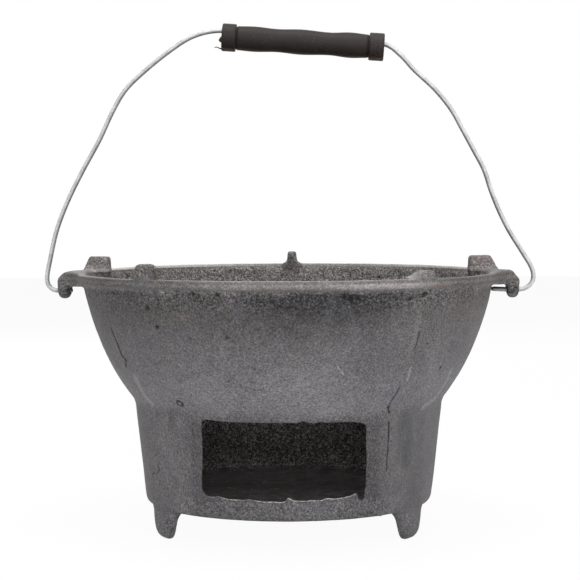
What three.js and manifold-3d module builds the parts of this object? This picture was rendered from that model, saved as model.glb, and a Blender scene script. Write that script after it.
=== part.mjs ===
// Charcoal stove: a cast-iron fire bowl on an ash drum, with a loose grate and a wire bail.
// Millimetres, +Z up. The origin is on the floor under the bowl's axis, and the air door faces -Y.
import * as THREE from "three";
import { mergeVertices } from "three/addons/utils/BufferGeometryUtils.js";
import Module from "manifold-3d";

const wasm = await Module();
wasm.setup();

// Clearance between pieces that meet, and the overrun of every cut past the face it opens.
const fitGap = 0.3;
const cutOverrun = 12;

// Casting: feet and ash drum
const footCount = 3;
const footHeight = 19;
const footThickness = 9.4;
const footWidth = 24.5;
const footInset = 0.9;
const footRoot = 2.5;
const wallThickness = 4.5;
const drumBottomRadius = 96.2;
const drumTopRadius = 102.9;
const drumHeight = 66.5;
const baseChamferHeight = 5;
const baseChamferWidth = 5.2;
const floorThickness = 6.5;
const floorFilletRadius = 4;

// Casting: air door, measured at its middle. Its upper and lower edges bow outwards.
const doorWidth = 101.8;
const doorHeight = 49.9;
const doorSillHeight = 14.1;
const doorBow = 1;
const doorSharpCorner = 1.6;
const doorCorner = 5.5;

// Casting: fire bowl and lip
const creaseHeight = 4.1;
const creaseWidth = 1.6;
const bowlHeight = 83;
const lipRadius = 141.7;
const lipHeight = 5.4;
const lipOverhang = 4;
const lipWidth = 6.1;
const lipRounding = 1.8;

// Casting: pot rests. The two beside the ears spread wide at the foot.
const restInset = 1.1;
const restLength = 12.8;
const restDraft = 1.2;
const restThickness = 7;
const restHeight = 10.1;
const lowRestHeight = 5.4;
const restSpread = 0.7;
const wideRestSpread = 3.6;
const restChamfer = 1;

// Casting: bail ears
const earLength = 14.4;
const earRise = 1.2;
const earThickness = 10.8;
const earTipWidth = 20;
const earRootWidth = 68;
const earRounding = 5;
const lugThickness = 8.9;
const lugWidth = 19;
const lugRounding = 2.4;
const lugCover = 3.8;

// Bail wire
const wireDiameter = 3.2;
const hingeDrop = 12;
const earHolePlay = 2.4;
const leftStub = 1.6;
const rightStub = 8.3;
const bendStart = 0.5;

// Hand grip
const bailHeight = 166.45;
const gripLength = 110.9;
const gripOffset = 11.05;
const gripTiltDegrees = 3.65;
const wireRiseAtLeft = 3.7;
const wireRiseAtRight = 1.4;
const collarRadius = 9.45;
const collarLength = 10.4;
const collarRounding = 1.1;
const grooveWidth = 0.9;
const grooveRadius = 7.1;
const neckRadius = 7.75;
const swellRadius = 8.25;
const waistRadius = 7.15;

// Fire grate
const grateSeat = 1.6;
const grateThickness = 6;
const grateRimWidth = 9;
const slotWidth = 9;
const barWidth = 8;
const centreRibWidth = 10;

// Facets
const turnFacets = 60;
const wallSteps = 9;
const roundSteps = 2;
const cornerSteps = 4;
const gripFacets = 20;
const gripSteps = 20;
const wireFacets = 8;
const wireSteps = 150;

// Heights and radii that follow from those sizes
const drumTop = footHeight + drumHeight;
const bowlBottom = drumTop + creaseHeight;
const bowlBottomRadius = drumTopRadius + creaseWidth;
const rimTop = bowlBottom + bowlHeight;
const lipBottom = rimTop - lipHeight;
const rimInnerRadius = lipRadius - lipWidth;
const earReach = lipRadius + earLength;
const hingeHeight = rimTop - hingeDrop;
const gripHeight = hingeHeight + bailHeight;
const grateBottom = bowlBottom + grateSeat;
const wireRadius = wireDiameter / 2;

const up = new THREE.Vector3(0, 0, 1);
const quarterTurn = Math.PI / 2;
const halfTurn = Math.PI;
const fullTurn = 2 * Math.PI;
const point = (x, y) => new THREE.Vector2(x, y);

function solidOf(geometry) {
  const bare = geometry.clone();
  bare.deleteAttribute("normal");
  bare.deleteAttribute("uv");
  const merged = mergeVertices(bare);
  return new wasm.Manifold(
    new wasm.Mesh({
      numProp: 3,
      vertProperties: merged.getAttribute("position").array,
      triVerts: new Uint32Array(merged.index.array),
    }),
  );
}

function geometryOf(solid) {
  const { vertProperties, triVerts } = solid.getMesh();
  const geometry = new THREE.BufferGeometry();
  geometry.setAttribute("position", new THREE.BufferAttribute(vertProperties, 3));
  geometry.setIndex(new THREE.BufferAttribute(triVerts, 1));
  geometry.computeVertexNormals();
  return geometry;
}

// A profile of radius and height, turned about the Z axis.
function turned(profile, facets) {
  return new THREE.LatheGeometry(profile, facets).rotateX(quarterTurn);
}

// A round stretch from one point to another, drawn towards the corner between them.
function roundStretch(from, corner, to, steps) {
  return new THREE.QuadraticBezierCurve(from, corner, to).getPoints(steps);
}

// A line of points moved sideways, to the left of its own direction.
function offsetLine(points, distance) {
  return points.map((here, i) => {
    const before = points[Math.max(i - 1, 0)];
    const after = points[Math.min(i + 1, points.length - 1)];
    const along = after.clone().sub(before).normalize();
    return here.clone().add(point(-along.y, along.x).multiplyScalar(distance));
  });
}

// A flat outline in the XZ plane, with its thickness centred on y.
function slab(outline, thickness, y = 0) {
  const extruded = new THREE.ExtrudeGeometry(outline, {
    depth: thickness,
    bevelEnabled: false,
    curveSegments: cornerSteps,
  });
  return extruded
    .translate(0, 0, -thickness / 2)
    .rotateX(quarterTurn)
    .translate(0, y, 0);
}

// A closed skin over rings of equal point count, from the lowest ring to the highest.
function loft(rings) {
  const around = rings[0].length;
  const top = (rings.length - 1) * around;
  const faces = [];
  for (let start = 0; start < top; start += around)
    for (let i = 0; i < around; i++) {
      const next = (i + 1) % around;
      const above = start + around;
      faces.push(start + i, start + next, above + next, start + i, above + next, above + i);
    }
  for (let i = 1; i + 1 < around; i++) faces.push(0, i + 1, i, top, top + i, top + i + 1);
  return new THREE.BufferGeometry().setFromPoints(rings.flat()).setIndex(faces);
}

// The outer wall from the drum's base to the lip, with the belly drawn towards a corner that lies
// at these shares of the way from the bowl's bottom to the lip. The inner wall follows it.
const bellySpreadShare = 0.69;
const bellyRiseShare = 0.369;
const bowlTopRadius = lipRadius - lipOverhang;
const outerWall = [
  point(drumBottomRadius, footHeight + baseChamferHeight),
  point(drumTopRadius, drumTop),
  ...roundStretch(
    point(bowlBottomRadius, bowlBottom),
    point(
      bowlBottomRadius + bellySpreadShare * (bowlTopRadius - bowlBottomRadius),
      bowlBottom + bellyRiseShare * (lipBottom - bowlBottom),
    ),
    point(bowlTopRadius, lipBottom),
    wallSteps,
  ),
];
const middleWall = offsetLine(outerWall, wallThickness / 2);
const innerWall = offsetLine(outerWall, wallThickness);

// The inner wall's radius at a height, and the height at which it has a radius.
function innerRadiusAt(height) {
  const i = Math.max(1, innerWall.findIndex((p) => p.y > height));
  const [below, above] = [innerWall[i - 1], innerWall[i]];
  return below.x + ((height - below.y) / (above.y - below.y)) * (above.x - below.x);
}

function innerHeightAt(radius) {
  const i = Math.max(1, innerWall.findIndex((p) => p.x > radius));
  const [below, above] = [innerWall[i - 1], innerWall[i]];
  return below.y + ((radius - below.x) / (above.x - below.x)) * (above.y - below.y);
}

// Bowl, lip, drum and floor as one turned shell.
function turnedBody() {
  const floorTop = footHeight + floorThickness;
  const filletTop = floorTop + floorFilletRadius;
  const rounding = lipRounding;
  const inside = innerWall.filter((p) => p.y > filletTop + floorFilletRadius).reverse();
  const profile = [
    point(0, footHeight),
    point(drumBottomRadius - baseChamferWidth, footHeight),
    ...outerWall,
    ...roundStretch(
      point(lipRadius - rounding, lipBottom),
      point(lipRadius, lipBottom),
      point(lipRadius, lipBottom + rounding),
      roundSteps,
    ),
    ...roundStretch(
      point(lipRadius, rimTop - rounding),
      point(lipRadius, rimTop),
      point(lipRadius - rounding, rimTop),
      roundSteps,
    ),
    ...roundStretch(
      point(rimInnerRadius + rounding, rimTop),
      point(rimInnerRadius, rimTop),
      point(rimInnerRadius - rounding / 2, rimTop - rounding),
      roundSteps,
    ),
    ...inside,
    ...roundStretch(
      point(innerRadiusAt(filletTop), filletTop),
      point(innerRadiusAt(floorTop), floorTop),
      point(innerRadiusAt(floorTop) - floorFilletRadius, floorTop),
      roundSteps,
    ),
    point(0, floorTop),
  ];
  return solidOf(turned(profile, turnFacets));
}

// The opening through the front of the drum. Its upper left corner is nearly sharp.
function doorCut() {
  const half = doorWidth / 2;
  const corner = doorCorner;
  const sharp = doorSharpCorner;
  const sill = footHeight + doorSillHeight + doorBow;
  const top = footHeight + doorSillHeight + doorHeight - doorBow;
  const outline = new THREE.Shape();
  outline.moveTo(-half + corner, sill);
  outline.quadraticCurveTo(0, sill - 2 * doorBow, half - corner, sill);
  outline.absarc(half - corner, sill + corner, corner, -quarterTurn, 0);
  outline.absarc(half - corner, top - corner, corner, 0, quarterTurn);
  outline.quadraticCurveTo(0, top + 2 * doorBow, -half + sharp, top);
  outline.absarc(-half + sharp, top - sharp, sharp, quarterTurn, halfTurn);
  outline.absarc(-half + corner, sill + corner, corner, halfTurn, halfTurn + quarterTurn);
  const outside = bowlBottomRadius + cutOverrun;
  const inside = half;
  return solidOf(slab(outline, outside - inside, -(outside + inside) / 2));
}

// A foot hangs from the drum's edge as a tapered prong with a round tip. Each row holds the height
// as a share of the drum's clearance, then the inner face, outer face and width as shares.
const footShares = [
  [0, 0.71, 0.46, 0.22],
  [0.05, 0.7, 0.3, 0.36],
  [0.14, 0.69, 0.15, 0.52],
  [0.28, 0.69, 0.02, 0.68],
  [0.5, 0.71, 0, 0.82],
  [0.7, 0.79, 0, 0.93],
  [0.9, 1, 0, 1],
];
const footRingPoints = 16;
const footSquareness = 0.62;

function foot(azimuth) {
  const section = (height, inner, outer, width) => {
    const middle = drumBottomRadius - footInset - (footThickness * (inner + outer)) / 2;
    const halfThickness = (footThickness * (inner - outer)) / 2;
    const halfWidth = (footWidth * width) / 2;
    return Array.from({ length: footRingPoints }, (_, i) => {
      const turn = (fullTurn * i) / footRingPoints;
      const across = Math.sign(Math.cos(turn)) * Math.abs(Math.cos(turn)) ** footSquareness;
      const along = Math.sign(Math.sin(turn)) * Math.abs(Math.sin(turn)) ** footSquareness;
      const place = new THREE.Vector3(middle + halfThickness * across, halfWidth * along, height);
      return place.applyAxisAngle(up, azimuth);
    });
  };
  const rings = footShares.map(([level, ...rest]) => section(level * footHeight, ...rest));
  const root = footShares.at(-1).slice(1);
  rings.push(section(footHeight + footRoot, ...root));
  return solidOf(loft(rings));
}

// A pot rest is a fin that grows from the bowl's inner wall and stands above the rim.
// Its thickness spreads into the rim, and draws in at the top, by these shares.
const restTopShare = 0.9;
const restRootShare = 1.3;
const restFlareShare = 0.22;

function potRest(azimuth, height, spread) {
  const outer = lipRadius - restInset;
  const inner = outer - restLength;
  const root = inner - restDraft;
  const top = rimTop + height;
  const flare = rimTop + height * restFlareShare;
  const foot = innerHeightAt(root);
  const outline = new THREE.Shape([
    point(root, foot),
    point(root + wallThickness / 2, foot),
    ...middleWall.filter((p) => p.y > foot && p.x > root + wallThickness / 2),
    point(lipRadius - lipRounding, rimTop - lipHeight / 2),
    point(outer + spread, rimTop),
    point(outer + spread / 2, flare),
    point(outer, top - restChamfer),
    point(outer - restChamfer, top),
    point(inner + restChamfer, top),
    point(inner, top - restChamfer),
    point(inner, flare),
    point(root, rimTop),
  ]);
  const fin = slab(outline, restThickness);
  const places = fin.getAttribute("position");
  for (let i = 0; i < places.count; i++) {
    const z = places.getZ(i);
    if (z > top - restChamfer / 2) places.setY(i, places.getY(i) * restTopShare);
    if (z < (rimTop + flare) / 2) places.setY(i, places.getY(i) * restRootShare);
  }
  return solidOf(fin.rotateZ(azimuth));
}

// An ear reaches out from the rim and turns down into a lug, whose hole takes the wire's end.
// It is where three outlines agree: from the side, from above and from the end. The wire rests on
// the bottom of the hole and turns about its own straight end.
function ear() {
  const earTop = rimTop + earRise;
  const earBottom = earTop - earThickness;
  const lugInner = earReach - lugThickness;
  const holeRadius = (wireDiameter + earHolePlay) / 2;
  const holeHeight = hingeHeight + holeRadius - wireRadius - fitGap;
  const lugBottom = holeHeight - holeRadius - lugCover;
  const rootTop = rimInnerRadius + wallThickness / 4;
  const rootBottom = innerRadiusAt(earBottom) + wallThickness / 3;
  const side = new THREE.Shape();
  side.moveTo(rootTop, earTop);
  side.lineTo(earReach - earRounding, earTop - earRise);
  side.quadraticCurveTo(earReach, earTop - earRise, earReach, earTop - earRise - earRounding);
  side.lineTo(earReach - lipRounding / 2, lugBottom + lugRounding);
  side.quadraticCurveTo(earReach - lugRounding, lugBottom, earReach - lugThickness / 2, lugBottom);
  side.quadraticCurveTo(lugInner, lugBottom, lugInner, lugBottom + lugRounding);
  side.lineTo(lugInner, earBottom - lipRounding / 2);
  side.lineTo(lugInner - lipRounding, earBottom);
  side.lineTo(rootBottom, earBottom);

  const above = new THREE.Shape();
  const [rootHalf, tipHalf] = [earRootWidth / 2, earTipWidth / 2];
  above.moveTo(rootBottom, -rootHalf);
  above.quadraticCurveTo(lipRadius, -tipHalf, earReach - earRounding, -tipHalf);
  above.quadraticCurveTo(earReach, -tipHalf, earReach, -tipHalf + earRounding);
  above.lineTo(earReach, tipHalf - earRounding);
  above.quadraticCurveTo(earReach, tipHalf, earReach - earRounding, tipHalf);
  above.quadraticCurveTo(lipRadius, tipHalf, rootBottom, rootHalf);

  const end = new THREE.Shape();
  const lugRadius = lugWidth / 2;
  const cutTop = earTop + cutOverrun;
  end.moveTo(-rootHalf, cutTop);
  end.lineTo(-rootHalf, earBottom);
  end.lineTo(-lugRadius, earBottom);
  end.quadraticCurveTo(-lugRadius, lugBottom, 0, lugBottom);
  end.quadraticCurveTo(lugRadius, lugBottom, lugRadius, earBottom);
  end.lineTo(rootHalf, earBottom);
  end.lineTo(rootHalf, cutTop);

  const length = earReach - rootBottom + cutOverrun;
  const plan = new THREE.ExtrudeGeometry(above, {
    depth: cutTop - lugBottom + cutOverrun,
    bevelEnabled: false,
    curveSegments: cornerSteps,
  }).translate(0, 0, lugBottom - cutOverrun);
  const face = slab(end, length)
    .rotateZ(quarterTurn)
    .translate(rootBottom + length / 2, 0, 0);
  const holeLength = lugThickness + lugRounding;
  const hole = new THREE.CylinderGeometry(holeRadius, holeRadius, holeLength, wireFacets * 2)
    .rotateZ(quarterTurn)
    .translate(earReach - lugThickness / 2, 0, holeHeight);
  return solidOf(slab(side, earRootWidth))
    .intersect(solidOf(plan))
    .intersect(solidOf(face))
    .subtract(solidOf(hole));
}

const degrees = halfTurn / 180;
const footAzimuths = Array.from({ length: footCount }, (_, i) => quarterTurn + (fullTurn * i) / footCount);
const potRests = [
  { azimuth: 12 * degrees, height: restHeight, spread: wideRestSpread },
  { azimuth: 90 * degrees, height: restHeight, spread: restSpread },
  { azimuth: 168 * degrees, height: restHeight, spread: wideRestSpread },
  { azimuth: 230.5 * degrees, height: restHeight, spread: restSpread },
  { azimuth: 310 * degrees, height: lowRestHeight, spread: restSpread },
];

function stoveBody() {
  const adds = [
    ...footAzimuths.map(foot),
    ...potRests.map((rest) => potRest(rest.azimuth, rest.height, rest.spread)),
    ear(),
    ear().rotate([0, 0, 180]),
  ];
  const whole = adds.reduce((body, piece) => body.add(piece), turnedBody());
  return geometryOf(whole.subtract(doorCut()));
}

// A loose disc whose tapered edge rests on the narrowing wall of the bowl. Slots let ash fall.
function fireGrate() {
  const top = grateBottom + grateThickness;
  const edgeAt = (height) => innerRadiusAt(height) - fitGap;
  const disc = solidOf(
    turned(
      [
        point(0, grateBottom),
        point(edgeAt(grateBottom), grateBottom),
        point(edgeAt(top), top),
        point(0, top),
      ],
      turnFacets,
    ),
  );
  const field = edgeAt(grateBottom) - grateRimWidth - slotWidth / 2;
  const pitch = slotWidth + barWidth;
  const ribHalf = (centreRibWidth + slotWidth) / 2;
  const last = Math.floor(field / pitch);
  let grate = disc;
  for (let i = -last; i <= last; i++) {
    const x = i * pitch;
    const reach = Math.sqrt(field ** 2 - x ** 2);
    if (reach - ribHalf > slotWidth)
      for (const side of [-1, 1]) {
        const slot = new THREE.Shape();
        slot.absarc(x, reach, slotWidth / 2, 0, halfTurn);
        slot.absarc(x, ribHalf, slotWidth / 2, halfTurn, fullTurn);
        const cut = new THREE.ExtrudeGeometry(slot, {
          depth: grateThickness + 2 * cutOverrun,
          bevelEnabled: false,
          curveSegments: cornerSteps,
        }).translate(0, 0, grateBottom - cutOverrun);
        grate = grate.subtract(solidOf(side > 0 ? cut : cut.rotateZ(halfTurn)));
      }
  }
  return geometryOf(grate);
}

// The grip's axis runs down to the right. A place on it is a share of its length from the left end.
const gripTilt = gripTiltDegrees * degrees;
function gripAxisPoint(share, rise = 0) {
  const along = (share - 1 / 2) * gripLength;
  return new THREE.Vector3(
    gripOffset + along * Math.cos(gripTilt) + rise * Math.sin(gripTilt),
    0,
    gripHeight - along * Math.sin(gripTilt) + rise * Math.cos(gripTilt),
  );
}

// Each leg of the bail runs from its ear to the grip through points given as shares of the way
// from the one to the other, sideways and upwards. The wire was bent by hand, so the legs differ.
const leftLegShares = [
  [-0.034, 0.0075],
  [-0.058, 0.025],
  [-0.064, 0.051],
  [-0.049, 0.119],
  [-0.005, 0.236],
  [0.067, 0.352],
  [0.159, 0.468],
  [0.258, 0.583],
  [0.35, 0.699],
  [0.427, 0.776],
  [0.551, 0.853],
  [0.688, 0.925],
  [0.794, 0.971],
  [0.876, 0.994],
  [0.949, 1],
];
const rightLegShares = [
  [-0.053, 0.0085],
  [-0.091, 0.027],
  [-0.105, 0.051],
  [-0.093, 0.085],
  [-0.013, 0.16],
  [0.08, 0.242],
  [0.155, 0.325],
  [0.215, 0.407],
  [0.264, 0.489],
  [0.343, 0.571],
  [0.425, 0.653],
  [0.508, 0.735],
  [0.623, 0.816],
  [0.783, 0.898],
  [0.889, 0.957],
];

function bailWire() {
  const leg = (foot, head, shares) =>
    shares.map(
      ([sideways, upwards]) =>
        new THREE.Vector3(
          foot.x + sideways * (head.x - foot.x),
          0,
          foot.z + upwards * (head.z - foot.z),
        ),
    );
  const onHinge = (x) => new THREE.Vector3(x, 0, hingeHeight);
  const leftFoot = onHinge(-earReach - bendStart);
  const rightFoot = onHinge(earReach + bendStart);
  const leftHead = gripAxisPoint(0, wireRiseAtLeft);
  const rightHead = gripAxisPoint(1, wireRiseAtRight);
  const path = new THREE.CatmullRomCurve3(
    [
      onHinge(lugThickness + leftStub - earReach),
      leftFoot,
      ...leg(leftFoot, leftHead, leftLegShares),
      leftHead,
      leftHead.clone().lerp(rightHead, 1 / 2),
      rightHead,
      ...leg(rightFoot, rightHead, rightLegShares).reverse(),
      rightFoot,
      onHinge(earReach - lugThickness - rightStub),
    ],
    false,
    "centripetal",
  );
  const section = new THREE.Shape(
    Array.from({ length: wireFacets }, (_, i) => {
      const turn = (fullTurn * i) / wireFacets;
      return point(wireRadius * Math.cos(turn), wireRadius * Math.sin(turn));
    }),
  );
  return new THREE.ExtrudeGeometry(section, { steps: wireSteps, extrudePath: path });
}

// The sleeve has three soft swells between two collars. Its bore clears the wire, which runs
// nearest to the bore's top at the left end. Each row holds a share of the barrel and a radius.
function handGrip() {
  const barrelStart = collarLength + grooveWidth;
  const barrelLength = gripLength - 2 * barrelStart;
  const swells = new THREE.SplineCurve(
    [
      [0, neckRadius],
      [0.15, swellRadius],
      [0.305, waistRadius],
      [0.5, swellRadius],
      [0.71, waistRadius],
      [0.86, swellRadius],
      [1, neckRadius],
    ].map(([share, radius]) => point(radius, barrelStart + share * barrelLength)),
  ).getPoints(gripSteps);
  const bore = Math.max(wireRiseAtLeft, wireRiseAtRight) + wireRadius + fitGap;
  const collar = [
    point(bore, 0),
    ...roundStretch(
      point(collarRadius - collarRounding, 0),
      point(collarRadius, 0),
      point(collarRadius, collarRounding),
      roundSteps,
    ),
    ...roundStretch(
      point(collarRadius, collarLength - collarRounding),
      point(collarRadius, collarLength),
      point(grooveRadius, collarLength),
      roundSteps,
    ),
    point(grooveRadius, barrelStart),
  ];
  const mirrored = collar.map((p) => point(p.x, gripLength - p.y)).reverse();
  const profile = [...collar, ...swells, ...mirrored, point(bore, 0)];
  return new THREE.LatheGeometry(profile, gripFacets).translate(0, -gripLength / 2, 0);
}

const castIron = new THREE.MeshStandardMaterial({ color: 0x6a696a, roughness: 0.72, metalness: 0.55 });
const sootyIron = new THREE.MeshStandardMaterial({ color: 0x4c4a49, roughness: 0.85, metalness: 0.4 });
const zincWire = new THREE.MeshStandardMaterial({ color: 0xb8bbbe, roughness: 0.32, metalness: 1 });
const brownPlastic = new THREE.MeshStandardMaterial({ color: 0x3d3634, roughness: 0.58, metalness: 0 });

function named(name, geometry, material) {
  const mesh = new THREE.Mesh(geometry, material);
  mesh.name = name;
  return mesh;
}

const stove = new THREE.Group();
const bail = new THREE.Group();
const grip = named("hand_grip", handGrip(), brownPlastic);
grip.position.set(gripOffset, 0, gripHeight);
grip.rotation.y = gripTilt;
grip.rotation.z = -quarterTurn;
bail.add(named("bail_wire", bailWire(), zincWire), grip);
stove.add(named("stove_body", stoveBody(), castIron), named("fire_grate", fireGrate(), sootyIron), bail);

export default stove;
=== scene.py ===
import math

import bmesh
import bpy
from mathutils import Matrix, Vector, noise
from mathutils.geometry import interpolate_bezier


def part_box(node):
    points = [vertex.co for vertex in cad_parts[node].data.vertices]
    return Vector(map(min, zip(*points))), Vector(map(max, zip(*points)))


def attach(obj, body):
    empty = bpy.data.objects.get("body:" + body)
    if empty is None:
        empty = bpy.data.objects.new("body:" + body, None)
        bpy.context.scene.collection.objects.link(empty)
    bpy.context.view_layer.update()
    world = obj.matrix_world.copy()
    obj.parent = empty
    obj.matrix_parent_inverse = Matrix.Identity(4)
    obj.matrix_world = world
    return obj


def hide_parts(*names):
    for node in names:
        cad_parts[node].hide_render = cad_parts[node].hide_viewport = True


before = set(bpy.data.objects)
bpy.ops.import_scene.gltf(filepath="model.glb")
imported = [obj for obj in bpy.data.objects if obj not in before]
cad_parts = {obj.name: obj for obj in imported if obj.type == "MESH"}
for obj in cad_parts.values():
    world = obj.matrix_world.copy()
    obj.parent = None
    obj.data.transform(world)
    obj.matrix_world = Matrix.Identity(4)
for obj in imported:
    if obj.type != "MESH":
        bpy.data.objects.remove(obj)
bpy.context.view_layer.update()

mm = 0.001

# The studio: the stove stands on a white sheet in a white tent. A large soft lamp stands behind the
# camera, one hangs overhead, and weak ones at the right and at the back lift the edges. The camera
# looks at the air door, a little down and from a little to the right.
camera_place = Vector((31.3, -1210.3, 220.4)) * mm
camera_turn = 1.4
camera_dip = 2.836
camera_roll = -0.207
camera_lens = 111.3
camera_film = 36
sheet_size = 8
sheet_white = (0.93, 0.93, 0.93, 1)
sheet_glow_share = 0.95
tent_light = 0.19
lamp_rows = [
    # name, place in metres, width, height, watts
    ("lamp_front", (0.35, -1.9, 0.9), 1.2, 0.8, 22),
    ("lamp_overhead", (0.0, -0.25, 1.5), 1.0, 0.8, 16),
    ("lamp_right", (1.5, -0.45, 0.75), 1.1, 1.5, 2.5),
    ("lamp_back", (-0.3, 1.6, 0.9), 1.2, 0.8, 11),
]
lamps_face = Vector((0, 0, 0.12))


class Socket:
    """An output in a material's nodes. Arithmetic on it adds Math nodes."""

    def __init__(self, tree, output=None):
        self.tree = tree
        self.output = output

    def node(self, kind, settings=None, inputs=None, output=0):
        """Adds a node: its settings first, then the values or links of its inputs."""
        added = self.tree.nodes.new(kind)
        for name, setting in (settings or {}).items():
            if name == "stops":
                ramp = added.color_ramp.elements
                while len(ramp) < len(setting):
                    ramp.new(1)
                for stop, (place, colour) in zip(ramp, setting):
                    stop.position = place
                    stop.color = colour
            else:
                setattr(added, name, setting)
        for name, given in (inputs or {}).items():
            if isinstance(given, Socket):
                self.tree.links.new(given.output, added.inputs[name])
            else:
                added.inputs[name].default_value = given
        return Socket(self.tree, added.outputs[output])

    def maths(self, operation, first, second=0.0):
        return self.node("ShaderNodeMath", {"operation": operation}, {0: first, 1: second})

    def __add__(self, other):
        return self.maths("ADD", self, other)

    __radd__ = __add__

    def __sub__(self, other):
        return self.maths("SUBTRACT", self, other)

    def __rsub__(self, other):
        return self.maths("SUBTRACT", other, self)

    def __mul__(self, other):
        return self.maths("MULTIPLY", self, other)

    __rmul__ = __mul__

    def __truediv__(self, other):
        return self.maths("DIVIDE", self, other)

    def __abs__(self):
        return self.maths("ABSOLUTE", self)

    def highest(self, other):
        return self.maths("MAXIMUM", self, other)

    def lowest(self, other):
        return self.maths("MINIMUM", self, other)

    def between(self, low, high):
        """A soft step from 0 at low to 1 at high."""
        step = {"interpolation_type": "SMOOTHSTEP"}
        ends = {"Value": self, "From Min": low, "From Max": high}
        return self.node("ShaderNodeMapRange", step, ends)

    def part(self, axis):
        """The X, Y or Z part of a vector."""
        return self.node("ShaderNodeSeparateXYZ", inputs={0: self}, output="XYZ".index(axis))

    def vector(self, operation, other=(0, 0, 0), output=0):
        """Vector Math with another vector. Output 1 is the number that it gives."""
        return self.node("ShaderNodeVectorMath", {"operation": operation}, {0: self, 1: other}, output)

    def away_from(self, place):
        """The distance from a place to this one."""
        return self.vector("DISTANCE", place, 1)

    def cloud(self, size, detail=2.0, roughness=0.5, squash=(1, 1, 1)):
        """Noise of this size at this place, from 0 to 1."""
        scaled = self.node("ShaderNodeMapping", inputs={"Vector": self, "Scale": squash})
        grain = {"Vector": scaled, "Scale": 1 / size, "Detail": detail, "Roughness": roughness}
        return self.node("ShaderNodeTexNoise", inputs=grain)

    def cells(self, size, squash=(1, 1, 1)):
        """The distance to the nearest of many scattered points, in cell sizes."""
        scaled = self.node("ShaderNodeMapping", inputs={"Vector": self, "Scale": squash})
        return self.node("ShaderNodeTexVoronoi", inputs={"Vector": scaled, "Scale": 1 / size})

    def tinted(self, share, colour):
        """This colour, mixed towards another by a share."""
        mix = {"data_type": "RGBA", "clamp_factor": True}
        return self.node("ShaderNodeMix", mix, {0: share, 6: self, 7: colour}, 2)

    def bumped(self, height):
        """The surface's normal over this height, in metres."""
        return self.node("ShaderNodeBump", inputs={"Distance": 1.0, "Strength": 1.0, "Height": height})


def new_material(name):
    """An empty material and the place on the piece, in metres, that its patterns are drawn by."""
    material = bpy.data.materials.new(name)
    material.use_nodes = True
    material.node_tree.nodes.clear()
    start = Socket(material.node_tree)
    return material, start.node("ShaderNodeTexCoord", output=3)


def coat_with(material, shader):
    """Puts a finished shader on a material."""
    tree = material.node_tree
    end = tree.nodes.new("ShaderNodeOutputMaterial")
    tree.links.new(shader.output, end.inputs["Surface"])
    return material


def seen_directly(place):
    """1 where the camera looks straight, or through a mirror or glass, and 0 elsewhere."""
    rays = [place.node("ShaderNodeLightPath", output=name) for name in
            ("Is Camera Ray", "Is Glossy Ray", "Is Transmission Ray")]
    return rays[0].highest(rays[1]).highest(rays[2])


def white_sheet():
    """White cloth that the camera sees nearly pure white and that still takes a faint shadow."""
    material, place = new_material("white_sheet")
    cloth = place.node("ShaderNodeBsdfDiffuse", inputs={"Color": sheet_white})
    glow = place.node("ShaderNodeEmission", inputs={"Color": (1, 1, 1, 1), "Strength": 1.0})
    share = seen_directly(place) * sheet_glow_share
    return coat_with(material, place.node("ShaderNodeMixShader", inputs={0: share, 1: cloth, 2: glow}))


def white_tent():
    """The studio's surroundings: a weak even light that the camera sees as pure white."""
    world = bpy.data.worlds.new("white_tent")
    world.use_nodes = True
    tree = world.node_tree
    tree.nodes.clear()
    start = Socket(tree)
    white = {"Color": (1, 1, 1, 1)}
    lit = start.node("ShaderNodeBackground", inputs={**white, "Strength": tent_light})
    seen = start.node("ShaderNodeBackground", inputs={**white, "Strength": 1.0})
    both = start.node("ShaderNodeMixShader", inputs={0: seen_directly(start), 1: lit, 2: seen})
    tree.links.new(both.output, tree.nodes.new("ShaderNodeOutputWorld").inputs["Surface"])
    return world


def shown(thing, name):
    """An object in the scene that shows this mesh, lamp or camera."""
    piece = bpy.data.objects.new(name, thing)
    bpy.context.scene.collection.objects.link(piece)
    return piece


camera = shown(bpy.data.cameras.new("camera"), "camera")
camera.data.lens = camera_lens
camera.data.sensor_width = camera_film
camera.matrix_world = (
    Matrix.Translation(camera_place)
    @ Matrix.Rotation(math.radians(camera_turn), 4, "Z")
    @ Matrix.Rotation(math.radians(90 - camera_dip), 4, "X")
    @ Matrix.Rotation(math.radians(camera_roll), 4, "Z")
)
bpy.context.scene.camera = camera
bpy.context.scene.view_settings.view_transform = "Standard"
bpy.context.scene.world = white_tent()

sheet_mesh = bpy.data.meshes.new("floor_sheet")
sheet_shape = bmesh.new()
bmesh.ops.create_grid(sheet_shape, x_segments=1, y_segments=1, size=sheet_size / 2)
sheet_shape.to_mesh(sheet_mesh)
sheet_shape.free()
floor_sheet = shown(sheet_mesh, "floor_sheet")
floor_sheet.data.materials.append(white_sheet())

for lamp_name, lamp_place, lamp_width, lamp_height, lamp_watts in lamp_rows:
    lamp = shown(bpy.data.lights.new(lamp_name, "AREA"), lamp_name)
    lamp.data.shape = "RECTANGLE"
    lamp.data.size = lamp_width
    lamp.data.size_y = lamp_height
    lamp.data.energy = lamp_watts
    lamp.location = lamp_place
    lamp.rotation_euler = (lamps_face - Vector(lamp_place)).to_track_quat("-Z", "Y").to_euler()
    lamp.visible_camera = False


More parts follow.
